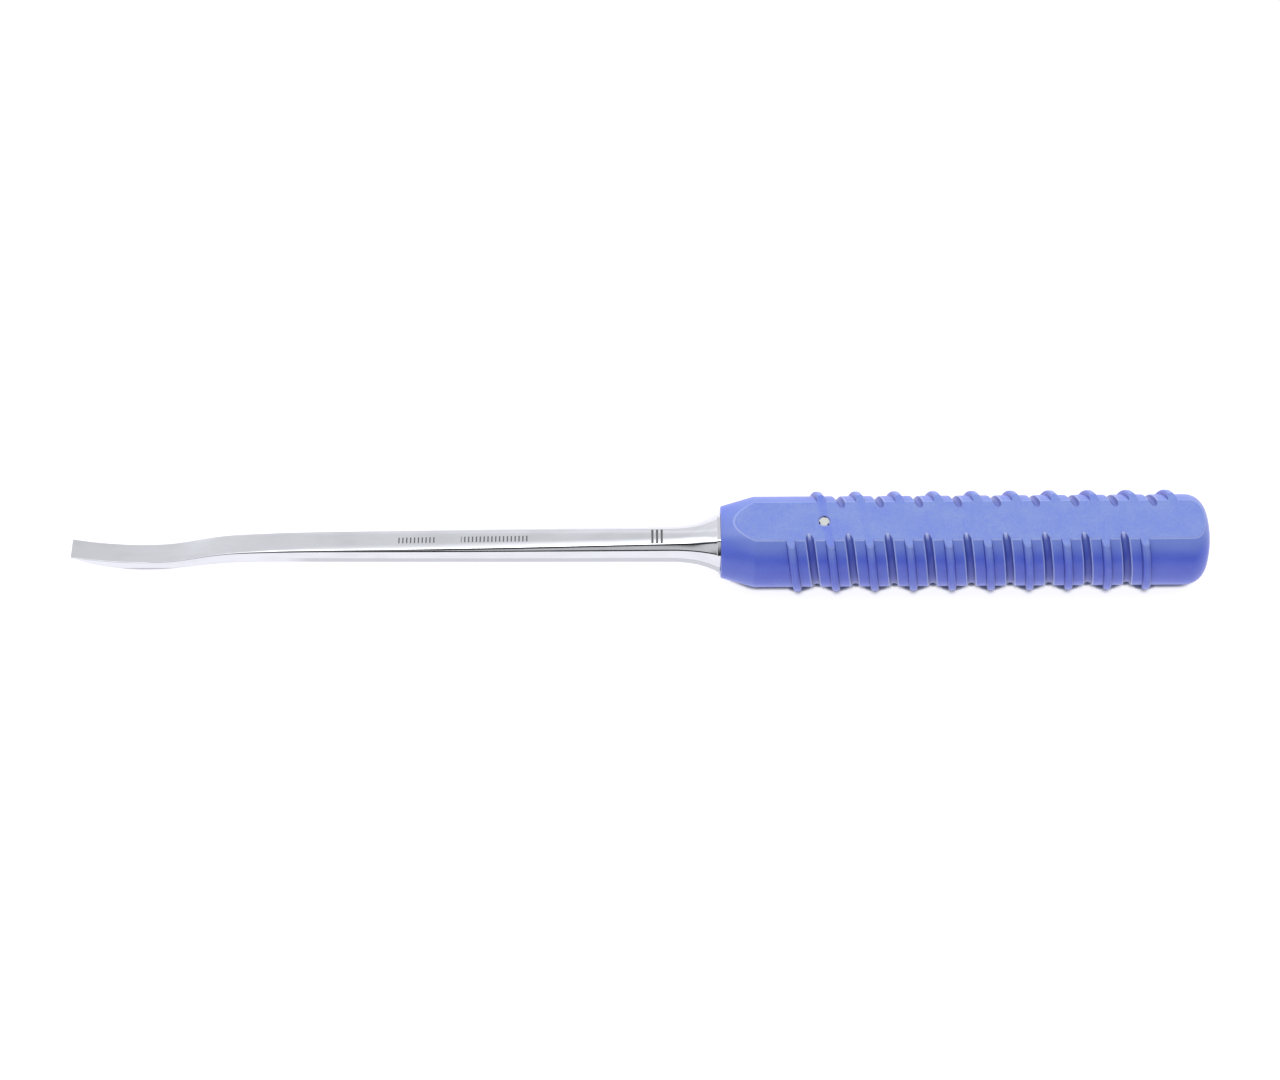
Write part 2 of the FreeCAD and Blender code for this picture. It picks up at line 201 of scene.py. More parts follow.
class Surface(Tree):
    """A material's shader tree, ending in a Principled shader, on the piece's own coordinates."""

    def __init__(self, name: str, constants: dict[str, Any]) -> None:
        """Make the material.

        Args:
            name: the material's name.
            constants: sockets of the shader that are the same all over.
        """
        self.material = bpy.data.materials.new(name)
        self.material.use_nodes = True
        super().__init__(self.material.node_tree)
        output = self.node("ShaderNodeOutputMaterial")
        self.shader = self.node("ShaderNodeBsdfPrincipled", None, constants)
        self.tree.links.new(self.shader.out(0), output.node.inputs["Surface"])
        self.place = self.node("ShaderNodeTexCoord").out("Object")
        split = self.node("ShaderNodeSeparateXYZ", None, {0: self.place})
        self.x, self.y, self.z = (split.value(axis) for axis in range(3))

    def stretched_noise(
        self, scale: tuple[float, float, float], detail: float = 3.0, roughness: float = 0.55,
    ) -> Value:
        """Noise on the piece's coordinates, with its own scale along each axis in marks per metre."""
        mapped = self.node("ShaderNodeVectorMath", {"operation": "MULTIPLY"}, {0: self.place, 1: scale})
        noise = self.node(
            "ShaderNodeTexNoise", {"noise_dimensions": "3D"},
            {"Vector": mapped, "Scale": 1.0, "Detail": detail, "Roughness": roughness})
        return noise.value(0)

    def attribute(self, name: str) -> Value:
        """A number stored on the piece's mesh."""
        return self.node("ShaderNodeAttribute", {"attribute_name": name}).value("Fac")

    def finish(self, colour: Link, roughness: Link, height: Link, depth: float) -> None:
        """Join colour, roughness and relief to the shader.

        Args:
            colour: base colour.
            roughness: roughness.
            height: relief from 0 to 1.
            depth: what a relief of 1 stands for, in metres.
        """
        bump = self.node("ShaderNodeBump", None, {"Strength": 1.0, "Distance": depth, "Height": height})
        for name, link in (("Base Color", colour), ("Roughness", roughness), ("Normal", bump)):
            self.feed(self.shader.node.inputs[name], link)


@dataclass(frozen=True)
class Etching:
    """Etched marks on the shank's upper face, in metres: graduations and a few cross bars."""

    groups: tuple[tuple[float, float], ...]
    bars: tuple[float, ...]
    floor_z: float
    bar_half_length: float = 0.0021
    bar_half_width: float = 0.00028
    bar_softness: float = 0.15
    pitch: float = 0.001
    line_half_width: float = 0.000175
    line_softness: float = 0.24
    height: float = 0.0017
    centre_y: float = -0.0001
    short_share: float = 0.62
    tint: Tint = (24, 24, 28)

    @staticmethod
    def stripe(beside: Value, half_width: float, softness: float) -> Value:
        """1 within half a width of a line's middle, with soft edges."""
        return beside.step(half_width * (1 + softness), half_width * (1 - softness))

    def mask(self, surface: Surface) -> Value:
        """1 on the etched marks, 0 elsewhere; each fifth graduation is taller."""
        x, y = surface.x, surface.y
        count = x / self.pitch
        nearest = surface.math("ROUND", count)
        line = self.stripe(abs(count - nearest) * self.pitch, self.line_half_width, self.line_softness)
        tall = surface.math("FLOORED_MODULO", nearest, 5.0) < 0.5
        reach = (self.short_share + tall * (1 - self.short_share)) * (self.height / 2)
        inside = (y - self.centre_y + reach > -self.height / 2) * (abs(y - self.centre_y) < self.height / 2)
        first, *others = [(x > low) * (x < high) for low, high in self.groups]
        marks = line * inside * reduce(surface.larger, others, first)
        for place in self.bars:
            bar = self.stripe(abs(x - place), self.bar_half_width, self.bar_softness)
            marks = surface.larger(marks, bar * (abs(y) < self.bar_half_length))
        return marks * (surface.z > self.floor_z)


@dataclass(frozen=True)
class GroundSteel:
    """Stainless steel, ground lengthwise and satin polished, with painted shade low on the shank's sides
    and along the blade's belly; its places are in metres.
    """

    name: str
    etching: Etching
    lower_shade_z: float
    shade_end_x: float
    belly_z: float
    tint: Tint = (228, 230, 234)
    roughness: float = 0.1
    relief: float = 0.4e-6
    grinding: tuple[float, float, float] = (60.0, 9000.0, 9000.0)
    clouding: tuple[float, float, float] = (90.0, 260.0, 260.0)
    worn_shade: float = 0.86
    lower_side_shade: float = 0.64
    belly_shade: float = 0.45
    line_share: float = 0.8

    def material(self) -> Material:
        """Make the material."""
        surface = Surface(self.name, {"Metallic": 1.0, "IOR": 2.5})
        marks = surface.stretched_noise(self.grinding, 4.0, 0.65)
        broad = surface.stretched_noise(self.clouding)
        wear = broad.step(0.35, 0.75) * 0.6 + marks * 0.25
        colour = surface.mix_colour(wear, srgb(*self.tint), srgb(*self.tint, self.worn_shade))
        roughness = self.roughness + (marks - 0.5) * 0.1 + (broad - 0.5) * 0.1
        # Painted shade: the lower part of the shank's sides is darkened, standing in for the shaded table
        # they reflect.
        below = surface.z.step(self.lower_shade_z + 0.0001, self.lower_shade_z - 0.0001)
        below = below * surface.x.step(self.shade_end_x - 0.006, self.shade_end_x + 0.002)
        # Painted shade: a dark line along the lower edge of the blade's belly, standing in for the dark
        # surroundings it reflects.
        belly = surface.z.step(self.belly_z + 0.0002, self.belly_z - 0.0002)
        belly = belly * surface.x.step(self.shade_end_x, self.shade_end_x - 0.004)
        for mask, shade in ((below, self.lower_side_shade), (belly, self.belly_shade)):
            colour = surface.mix_colour(mask * self.line_share, colour, srgb(*self.tint, shade))
        etched = self.etching.mask(surface)
        colour = surface.mix_colour(etched, colour, srgb(*self.etching.tint))
        roughness = (roughness + below * 0.1) * (1 - etched) + etched * 0.6
        surface.feed(surface.shader.node.inputs["Metallic"], 1 - etched * 0.85)
        surface.finish(colour, roughness, marks, self.relief)
        return surface.material


@dataclass(frozen=True)
class PinSteel:
    """Grooved pin: satin face, a turned bevel painted near-white as a highlight, and painted shade in its
    three rolled notches and beyond its rim.
    """

    name: str
    centre_x: float
    radius: float = 0.0015
    bevel: float = 0.0004
    notch_radius: float = 0.00038
    notch_turns: tuple[float, ...] = (80.0, 200.0, 320.0)
    face_tint: Tint = (228, 230, 224)
    dull_tint: Tint = (186, 190, 184)
    bevel_highlight_tint: Tint = (250, 250, 246)
    notch_shade_tint: Tint = (26, 28, 44)
    relief: float = 2.0e-6

    def material(self) -> Material:
        """Make the material."""
        surface = Surface(self.name, {"IOR": 2.5})
        across, beside = surface.x - self.centre_x, surface.y
        reach = surface.length(across, beside)
        marks = surface.stretched_noise((9000.0, 500.0, 500.0))
        specks = surface.stretched_noise((3000.0, 3000.0, 3000.0), 2.0)
        bevel = reach.step(self.radius - self.bevel * 1.2, self.radius - self.bevel * 0.9)
        colour = surface.mix_colour(specks * 0.5, srgb(*self.face_tint), srgb(*self.dull_tint))
        # Painted highlight: the bevel is near-white and barely metallic.
        colour = surface.mix_colour(bevel, colour, srgb(*self.bevel_highlight_tint))
        # Painted shade: the rolled notches and the rim beyond the pin are darkened, where shade falls.
        recess_shade = reach.step(self.radius + 0.00002, self.radius + 0.00008)
        for turn in map(math.radians, self.notch_turns):
            gap = surface.length(
                across - self.radius * math.cos(turn), beside - self.radius * math.sin(turn))
            recess_shade = surface.larger(recess_shade, gap.step(self.notch_radius * 1.2, self.notch_radius))
        colour = surface.mix_colour(recess_shade, colour, srgb(*self.notch_shade_tint))
        surface.feed(surface.shader.node.inputs["Metallic"], (1 - recess_shade) * (0.85 - bevel * 0.75))
        roughness = 0.34 - bevel * 0.1 + recess_shade * 0.35 + (marks - 0.5) * 0.15
        surface.finish(colour, roughness, marks, self.relief)
        return surface.material


@dataclass(frozen=True)
class GripPolymer:
    """Blue medical polymer, turned and milled from bar, with a silky skin; its places are in metres."""

    name: str
    front: float
    axis_z: float
    half_flats: float
    rib_start: float
    pitch: float
    nose_length: float
    tint: Tint = (96, 118, 232)
    deep_tint: Tint = (82, 103, 225)
    milled_and_sheen_tint: Tint = (141, 164, 227)
    highlight_tint: Tint = (176, 190, 244)
    crevice_shade_tint: Tint = (38, 50, 150)
    roughness: float = 0.33
    relief: float = 8.0e-6
    lit_band_reach: float = 0.0042
    lit_band_share: float = 0.6
    nose_sheen_share: float = 0.12
    flat_edge_highlight_share: float = 0.7
    crevice_shade_share: float = 0.75
    glint_share: float = 0.9
    streak_share: float = 0.24
    streak_from: float = 0.019
    streak_fade: tuple[float, float] = (0.042, 0.030)
    streak_rest: float = 0.15

    def material(self) -> Material:
        """Make the material."""
        surface = Surface(self.name, {"Specular IOR Level": 0.6, "IOR": 1.5})
        turned = surface.stretched_noise((6000.0, 160.0, 160.0), 3.0, 0.6)
        milled = surface.stretched_noise((260.0, 3600.0, 160.0), 3.0, 0.6)
        cloud = surface.stretched_noise((120.0, 190.0, 190.0), 4.0)
        grain = surface.stretched_noise((2600.0, 2600.0, 2600.0), 2.0)
        tone = surface.attribute("tone")
        up = abs(surface.z - self.axis_z)
        on_flat = up.step(self.half_flats - 0.00012, self.half_flats - 0.00003)
        off_flat = 1 - on_flat
        height = turned * off_flat + milled * on_flat
        colour = self.skin(surface, up, cloud, grain)
        flat_shade = grain.step(0.25, 0.75) * 0.35 + cloud.step(0.3, 0.7) * 0.25
        flat_shade = flat_shade + self.streak(surface) * self.streak_share
        # The flats' pale colour is partly the whitening left by milling and partly a painted sheen of light
        # off the flats.
        flat = surface.mix_colour(flat_shade, srgb(*self.milled_and_sheen_tint), srgb(*self.tint))
        colour = surface.mix_colour(on_flat, colour, flat)
        # Painted highlights: light lines along the groove edges, faintly on the rib tops, and on the round
        # surface next to each flat's edge.
        beside = up.step(self.half_flats - 0.00026, self.half_flats - 0.00014) * off_flat
        edge_highlight = surface.larger(tone * off_flat, beside * self.flat_edge_highlight_share)
        colour = surface.mix_colour(edge_highlight, colour, srgb(*self.highlight_tint))
        # Painted shade: darker rib feet, rib flanks and groove floors, where shade falls.
        crevice = surface.larger(tone * -self.crevice_shade_share, 0.0) * off_flat
        colour = surface.mix_colour(crevice, colour, srgb(*self.crevice_shade_tint))
        colour = surface.mix_colour(
            self.glint(surface, tone, up) * off_flat * self.glint_share, colour, srgb(*self.highlight_tint))
        roughness = self.roughness + on_flat * 0.12 + (height - 0.5) * 0.16 + (cloud - 0.5) * 0.1
        surface.finish(colour, roughness, height, self.relief)
        return surface.material

    def skin(self, surface: Surface, up: Value, cloud: Value, grain: Value) -> NodeSocket:
        """Colour of the turned surfaces, with a painted sheen on the nose and painted light in a band next
        to each flat.
        """
        shade = cloud.step(0.3, 0.75) * 0.6 + grain.step(0.3, 0.7) * 0.4
        colour = surface.mix_colour(shade, srgb(*self.tint), srgb(*self.deep_tint))
        # Painted sheen on the nose and painted light in a band next to each flat, both in the pale milled
        # colour.
        nose_end = self.front + self.nose_length
        nose = surface.x.step(nose_end + 0.0004, nose_end - 0.0004) * self.nose_sheen_share
        lit_band = up.step(self.half_flats - self.lit_band_reach, self.half_flats) * self.lit_band_share
        return surface.mix_colour(surface.larger(nose, lit_band), colour, srgb(*self.milled_and_sheen_tint))

    def glint(self, surface: Surface, tone: Value, up: Value) -> Value:
        """1 on the middle of a groove's floor, where it runs out into a flat on the near side."""
        middle = tone.step(-0.76, -0.64) * (tone < -0.55)
        return middle * up.step(self.half_flats - 0.0010, self.half_flats - 0.0003) * (surface.y < 0.0)

    def streak(self, surface: Surface) -> Value:
        """Faint trace of the milled-off rib on the flats, strongest on its first turn."""
        turn = surface.math("ARCTAN2", surface.y * -1.0, surface.z - self.axis_z) / (2 * math.pi)
        climb = (surface.x - (self.front + self.rib_start)) / self.pitch - turn
        trace = (abs(climb - surface.math("ROUND", climb)) * self.pitch).step(0.0016, 0.0004)
        weak, strong = (self.front + place for place in self.streak_fade)
        fade = surface.x.step(weak, strong) * (1 - self.streak_rest) + self.streak_rest
        return trace * fade * (surface.x > self.front + self.streak_from)


@dataclass(frozen=True)
class CuredBond:
    """Dull cured adhesive."""

    name: str
    tint: Tint = (206, 200, 184)
    deep_shade: float = 0.7
    relief: float = 2.0e-5

    def material(self) -> Material:
        """Make the material."""
        surface = Surface(self.name, {"IOR": 1.45})
        flow = surface.stretched_noise((900.0, 900.0, 900.0))
        colour = surface.mix_colour(flow, srgb(*self.tint), srgb(*self.tint, self.deep_shade))
        surface.finish(colour, 0.6 + (flow - 0.5) * 0.3, flow, self.relief)
        return surface.material


# ---- Mesh helpers ----


def settle(piece: Object, angle: float) -> None:
    """Merge doubles, turn all faces outwards and shade smooth between edges sharper than an angle."""
    bm = bmesh.new()
    bm.from_mesh(piece.data)
    bmesh.ops.remove_doubles(bm, verts=bm.verts, dist=1.0e-6)
    bmesh.ops.dissolve_degenerate(bm, edges=bm.edges, dist=1.0e-7)
    bmesh.ops.recalc_face_normals(bm, faces=bm.faces)
    if bm.calc_volume(signed=True) < 0:
        bmesh.ops.reverse_faces(bm, faces=bm.faces)
    bm.to_mesh(piece.data)
    open_edges = sum(1 for edge in bm.edges if not edge.is_manifold)
    bm.free()
    piece.data.shade_smooth()
    piece.data.set_sharp_from_angle(angle=math.radians(angle))
    LOG.info("%s: %d faces, %d open edges", piece.name, len(piece.data.polygons), open_edges)


def add_object(name: str, data: ID) -> Object:
    """Put a mesh, lamp or lens in the scene as an object at the origin."""
    piece = bpy.data.objects.new(name, data)
    bpy.context.scene.collection.objects.link(piece)
    return piece


def dress(piece: Object, material: Material) -> None:
    """Make this the piece's only material."""
    piece.data.materials.clear()
    piece.data.materials.append(material)


def dress_node(node: str, material: Material) -> Object:
    """Give its finish to a CAD node whose shape is right already."""
    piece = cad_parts[node]
    if not piece.material_slots:
        piece.data.materials.append(material)
    for place in piece.material_slots:
        place.material = material
    return piece


def arc(centre: Point, radius: float, start: float, end: float, count: int) -> list[Point]:
    """Points along a circle's arc, from one angle to another, both ends included.

    Args:
        centre: the circle's centre.
        radius: its radius.
        start: first angle in degrees, from the first axis towards the second.
        end: last angle in degrees.
        count: number of points.

    Returns:
        The points.
    """
    angles = [math.radians(start + (end - start) * step / (count - 1)) for step in range(count)]
    return [(centre[0] + radius * math.cos(a), centre[1] + radius * math.sin(a)) for a in angles]


# ---- Grip ----


class RowKind(Enum):
    """How a point of the grip's outline goes round the axis."""

    RING = 0.0
    HELIX = 1.0


@dataclass(frozen=True)
class OutlinePoint:
    """A point of the grip's half section; its painted shading is 1 for a painted highlight on an edge and
    -1 for painted shade in a crevice.
    """

    x: float
    r: float
    kind: RowKind = RowKind.RING
    tone: float = 0.0

    def mirrored(self) -> OutlinePoint:
        """The same point on the section's other side."""
        return OutlinePoint(-self.x, self.r, self.kind, self.tone)

    def moved(self, along: float) -> OutlinePoint:
        """The same point, moved along the axis."""
        return OutlinePoint(self.x + along, self.r, self.kind, self.tone)

    def on_helix(self, along: float, radius: float, raised: bool) -> OutlinePoint:
        """The point on the barrel, at its own height if its rib or groove is there and flush if not."""
        rise, tone = (self.r, self.tone) if raised else (0.0, 0.0)
        return OutlinePoint(self.x + along, radius + rise, RowKind.HELIX, tone)


@dataclass
class Grip:
    """One-piece polymer grip. Sizes in millimetres; X from its front face, radii from its axis."""

    node: str = "handle_grip"
    name: str = "grip"
    diameter: float = 23.4
    nose_diameter: float = 18.5
    nose_length: float = 8.5
    butt_fillet: float = 5.0
    butt_crown: float = 26.0
    butt_gap: float = 0.001
    butt_points: tuple[int, int] = (14, 12)
    cone_steps: int = 22
    pitch: float = 10.0
    rib_start: float = 16.6
    rib_turns: int = 10
    rib_width: float = 2.0
    rib_draft: float = 0.12
    rib_height: float = 1.195
    rib_corner: float = 0.72
    foot_rise: float = 0.12
    groove_turns: int = 9
    groove_width: float = 2.1
    groove_depth: float = 0.85
    groove_break: float = 0.15
    groove_turn: tuple[float, float] = (205.0, 335.0)
    lead: float = 0.2
    plain_places: tuple[float, ...] = (2.1, 3.0)
    edge_round: float = 0.2
    flat_edge_round: float = 0.12
    bore_diameter: float = 9.4
    bore_length: float = 114.0
    bore_break: float = 0.3
    helix_from: float = 10.0
    helix_to: float = 119.0
    pin_place: float = 26.3
    pin_diameter: float = 3.04
    pin_mouth: float = 0.12
    columns: int = 216
    low: Vector = field(default_factory=Vector)
    high: Vector = field(default_factory=Vector)

    def __post_init__(self) -> None:
        """Read the CAD node's box."""
        self.low, self.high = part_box(self.node)

    @property
    def front(self) -> float:
        """X of the front face, in metres."""
        return self.low.x

    @property
    def axis_z(self) -> float:
        """Height of the axis, in metres."""
        return (self.low.z + self.high.z) / 2

    @property
    def half_flats(self) -> float:
        """Distance from the axis to either flat, in metres."""
        return (self.high.z - self.low.z) / 2

    @property
    def length(self) -> float:
        """Length of the grip in millimetres."""
        return (self.high.x - self.low.x) / MM

    def rib_rows(self) -> list[OutlinePoint]:
        """The rib's section about its middle: a crevice at each foot, short flanks and a round top; its
        painted shading is dark at the feet and flanks and faintly light on top.
        """
        half, corner, top = self.rib_width / 2, self.rib_corner, self.rib_height
        left = [
            OutlinePoint(-half - self.rib_draft - self.lead, 0.0),
            OutlinePoint(-half - self.rib_draft, 0.0, tone=-1.0),
            OutlinePoint(-half - self.rib_draft * 0.4, self.foot_rise, tone=-1.0)]
        shoulder = arc((-half + corner, top - corner), corner, 180, 90, 6)
        left += [
            OutlinePoint(x, rise, tone=-0.5 + 0.6 * step / 5)
            for step, (x, rise) in enumerate(shoulder)]
        return left + [point.mirrored() for point in reversed(left)]

    def groove_rows(self) -> list[OutlinePoint]:
        """The groove's section, half a pitch from the rib's middle: broken edges and a round floor, with
        painted highlight on the edges and painted shade on the floor.
        """
        nose, edge = self.groove_width / 2, self.groove_break
        left = [
            OutlinePoint(-nose - edge - self.lead, 0.0),
            OutlinePoint(-nose - edge, 0.0, tone=1.0),
            OutlinePoint(-nose, -edge, tone=1.0),
            OutlinePoint(-nose + 0.03, -edge - 0.1, tone=-0.8)]
        floor = [
            OutlinePoint(x, rise, tone=-1.0 if abs(x) > nose * 0.6 else -0.6)
            for x, rise in arc((0.0, nose - self.groove_depth), nose, *self.groove_turn, 6)]
        rows = left + floor + [point.mirrored() for point in reversed(left)]
        return [point.moved(self.pitch / 2) for point in rows]

    def helix_rows(self) -> list[OutlinePoint]:
        """Rows that climb one pitch as they go once round, with the rib and the groove on their turns."""
        between = [OutlinePoint(x, 0.0) for x in self.plain_places]
        after = [point.mirrored().moved(self.pitch) for point in reversed(between)]
        rows = []
        for turn in range(-2, self.rib_turns + 1):
            along = self.rib_start + turn * self.pitch
            parts = (
                (self.rib_rows(), 0 <= turn < self.rib_turns), (between, False),
                (self.groove_rows(), 0 <= turn < self.groove_turns), (after, False))
            for points, raised in parts:
                rows += [point.on_helix(along, self.diameter / 2, raised) for point in points]
        return rows

    def outline(self) -> list[OutlinePoint]:
        """The grip's half section, from the blind end of its bore round to the middle of its butt."""
        radius, nose, edge = self.diameter / 2, self.nose_diameter / 2, self.edge_round
        bore, mouth = self.bore_diameter / 2, self.bore_break
        slope = math.atan2(radius - nose, self.nose_length)
        front = [(self.bore_length, 0.0), (self.bore_length, bore), (mouth, bore), (0.0, bore + mouth)]
        rounding = arc((edge, nose - edge * math.cos(slope)), edge, 180, 90 + math.degrees(slope), 4)
        shares = [step / self.cone_steps for step in range(1, self.cone_steps + 1)]
        cone = [(self.nose_length * share, nose + (radius - nose) * share) for share in shares]
        barrel = [(self.nose_length + 0.5, radius), (self.helix_from, radius)]
        crown_centre = self.length - self.butt_gap - self.butt_crown
        fillet_z = radius - self.butt_fillet
        fillet_x = crown_centre + math.sqrt((self.butt_crown - self.butt_fillet) ** 2 - fillet_z ** 2)
        turn = math.degrees(math.atan2(fillet_z, fillet_x - crown_centre))
        fillet_points, crown_points = self.butt_points
        back = [(self.helix_to, radius)]
        back += arc((fillet_x, fillet_z), self.butt_fillet, 90, turn, fillet_points)
        back += arc((crown_centre, 0.0), self.butt_crown, turn, 0, crown_points)[1:]
        before = [OutlinePoint(x, r) for x, r in front + rounding + cone + barrel]
        return before + self.helix_rows() + [OutlinePoint(x, r) for x, r in back]

    def outline_mesh(self) -> Mesh:
        """The half section as loose points, with how each goes round and its painted shading as attributes.
        """
        rows = self.outline()
        mesh = bpy.data.meshes.new("grip_outline")
        mesh.from_pydata([(self.front + row.x * MM, 0.0, max(row.r, 0.0) * MM) for row in rows], [], [])
        for name, values in (
                ("helix", [row.kind.value for row in rows]), ("tone", [row.tone for row in rows])):
            mesh.attributes.new(name, "FLOAT", "POINT").data.foreach_set("value", values)
        return mesh

    def sweep_inputs(self, material: Material | None = None) -> dict[str, Any]:
        """The sweep's inputs by name, with sizes in metres."""
        return {
            "Columns": self.columns, "Pitch": self.pitch * MM, "Axis Height": self.axis_z,
            "Half Flats": self.half_flats, "Flat Edge": self.flat_edge_round * MM,
            "Helix From": self.front + self.helix_from * MM, "Helix To": self.front + self.helix_to * MM,
            "Pin Place": self.front + self.pin_place * MM, "Pin Radius": self.pin_diameter / 2 * MM,
            "Pin Mouth": self.pin_mouth * MM, "Material": material,
        }

    def sweep_tree(self) -> tuple[NodeTree, dict[str, str]]:
        """The tree that carries the half section round the axis, mills the flats and drills the pin hole.

        Returns:
            The tree, and the identifiers of its inputs by name.
        """
        group = bpy.data.node_groups.new("grip_sweep", "GeometryNodeTree")
        identifiers = {}
        face = group.interface
        face.new_socket("Outline", in_out="INPUT", socket_type="NodeSocketGeometry")
        for name in self.sweep_inputs():
            kind = {"Columns": "Int", "Material": "Material"}.get(name, "Float")
            socket = face.new_socket(name, in_out="INPUT", socket_type="NodeSocket" + kind)
            identifiers[name] = socket.identifier
        face.new_socket("Grip", in_out="OUTPUT", socket_type="NodeSocketGeometry")
        tree = Tree(group)
        given = tree.node("NodeGroupInput")
        columns, pitch = given.value("Columns"), given.value("Pitch")
        outline = given.out("Outline")
        size = tree.node(
            "GeometryNodeAttributeDomainSize", {"component": "MESH"}, {0: outline}).value("Point Count")
        grid = tree.node("GeometryNodeMeshGrid", None, {"Vertices X": columns + 1, "Vertices Y": size})
        index = tree.node("GeometryNodeInputIndex").value()
        column = tree.math("FLOOR", (index + 0.5) / size)
        row = index - column * size
        place = tree.node(
            "GeometryNodeSampleIndex", {"data_type": "FLOAT_VECTOR", "domain": "POINT"},
            {"Geometry": outline, "Value": tree.node("GeometryNodeInputPosition"), "Index": row})
        helix, tone = (
            tree.node(
                "GeometryNodeSampleIndex", {"data_type": "FLOAT", "domain": "POINT"},
                {"Geometry": outline, "Index": row, "Value": tree.node(
                    "GeometryNodeInputNamedAttribute", {"data_type": "FLOAT"}, {"Name": name})})
            for name in ("helix", "tone"))
        split = tree.node("ShaderNodeSeparateXYZ", None, {0: place})
        along, radius = split.value(0), split.value(2)
        share = column / columns
        climbed = tree.larger(along + pitch * share, given.value("Helix From"))
        climbed = tree.math("MINIMUM", climbed, given.value("Helix To"))
        x = along + (climbed - along) * helix.value()
        turn = share * (2 * math.pi)
        y = radius * tree.math("SINE", turn) * -1.0
        z = radius * tree.math("COSINE", turn)
        half, edge = given.value("Half Flats"), given.value("Flat Edge")
        milled = tree.math("SMOOTH_MIN", z, half, edge)
        milled = tree.math("SMOOTH_MAX", milled, half * -1.0, edge)
        spot = tree.node(
            "ShaderNodeCombineXYZ", None, {0: x, 1: y, 2: milled + given.value("Axis Height")})
        toned = tree.node(
            "GeometryNodeStoreNamedAttribute", {"data_type": "FLOAT", "domain": "POINT"},
            {"Geometry": grid, "Name": "tone", "Value": tone})
        swept = tree.node("GeometryNodeSetPosition", None, {"Geometry": toned, "Position": spot})
        merged = tree.node("GeometryNodeMergeByDistance", None, {"Geometry": swept, "Distance": SEAM})
        drilled = tree.node(
            "GeometryNodeMeshBoolean", {"operation": "DIFFERENCE", "solver": "MANIFOLD"},
            {"Mesh 1": merged, "Mesh 2": self.drill(tree, given)})
        real = tree.node("GeometryNodeRealizeInstances", None, {"Geometry": drilled})
        dressed = tree.node(
            "GeometryNodeSetMaterial", None, {"Geometry": real, "Material": given.out("Material")})
        output = tree.node("NodeGroupOutput")
        tree.feed(output.node.inputs[0], dressed)
        return group, identifiers

    def drill(self, tree: Tree, given: Made) -> Made:
        """The drill for the pin, with a small countersink where it breaks out of each flat."""
        radius, mouth, half = given.value("Pin Radius"), given.value("Pin Mouth"), given.value("Half Flats")
        place = {0: given.value("Pin Place"), 2: given.value("Axis Height")}
        centre = tree.node("ShaderNodeCombineXYZ", None, place)
        shaft = tree.node(
            "GeometryNodeMeshCylinder", {"fill_type": "NGON"},
            {"Vertices": 64, "Radius": radius, "Depth": half * 3.0})
        parts = [shaft]
        for sign in (1.0, -1.0):
            reach = mouth * 3.0
            wide, narrow = radius + mouth + reach, radius - mouth
            low = (half + reach) * sign if sign < 0 else half - mouth * 2.0
            cone = tree.node(
                "GeometryNodeMeshCone", {"fill_type": "NGON"},
                {"Vertices": 64, "Radius Top": wide if sign > 0 else narrow,
                 "Radius Bottom": narrow if sign > 0 else wide, "Depth": reach + mouth * 2.0})
            shift = tree.node("ShaderNodeCombineXYZ", None, {2: low})
            parts.append(tree.node("GeometryNodeTransform", None, {"Geometry": cone, "Translation": shift}))
        whole = tree.node("GeometryNodeMeshBoolean", {"operation": "UNION", "solver": "MANIFOLD"})
        for part in parts:
            tree.tree.links.new(part.out(0), whole.node.inputs["Mesh 2"])
        return tree.node("GeometryNodeTransform", None, {"Geometry": whole, "Translation": centre})

    def build(self, material: Material) -> Object:
        """Make the grip's mesh and let it stand for the CAD node."""
        source = add_object("grip_source", self.outline_mesh())
        group, identifiers = self.sweep_tree()
        modifier = source.modifiers.new("sweep", "NODES")
        modifier.node_group = group
        for name, setting in self.sweep_inputs(material).items():
            modifier[identifiers[name]] = setting
        graph = bpy.context.evaluated_depsgraph_get()
        mesh = bpy.data.meshes.new_from_object(source.evaluated_get(graph))
        source.modifiers.remove(modifier)
        bpy.data.objects.remove(source)
        piece = add_object(self.name, mesh)
        dress(piece, material)
        settle(piece, 30.0)
        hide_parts(self.node)
        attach(piece, BODY)
        return piece


# ---- Forging ----


@dataclass(frozen=True)
class Section:
    """One section of the forging, in millimetres: X from the grip's front face, heights from its axis."""

    place: float
    upper: float
    lower: float
    width: float
    chamfer: float
    crown: float

    def sizes(self) -> tuple[float, ...]:
        """Everything but the place."""
        return self.upper, self.lower, self.width, self.chamfer, self.crown


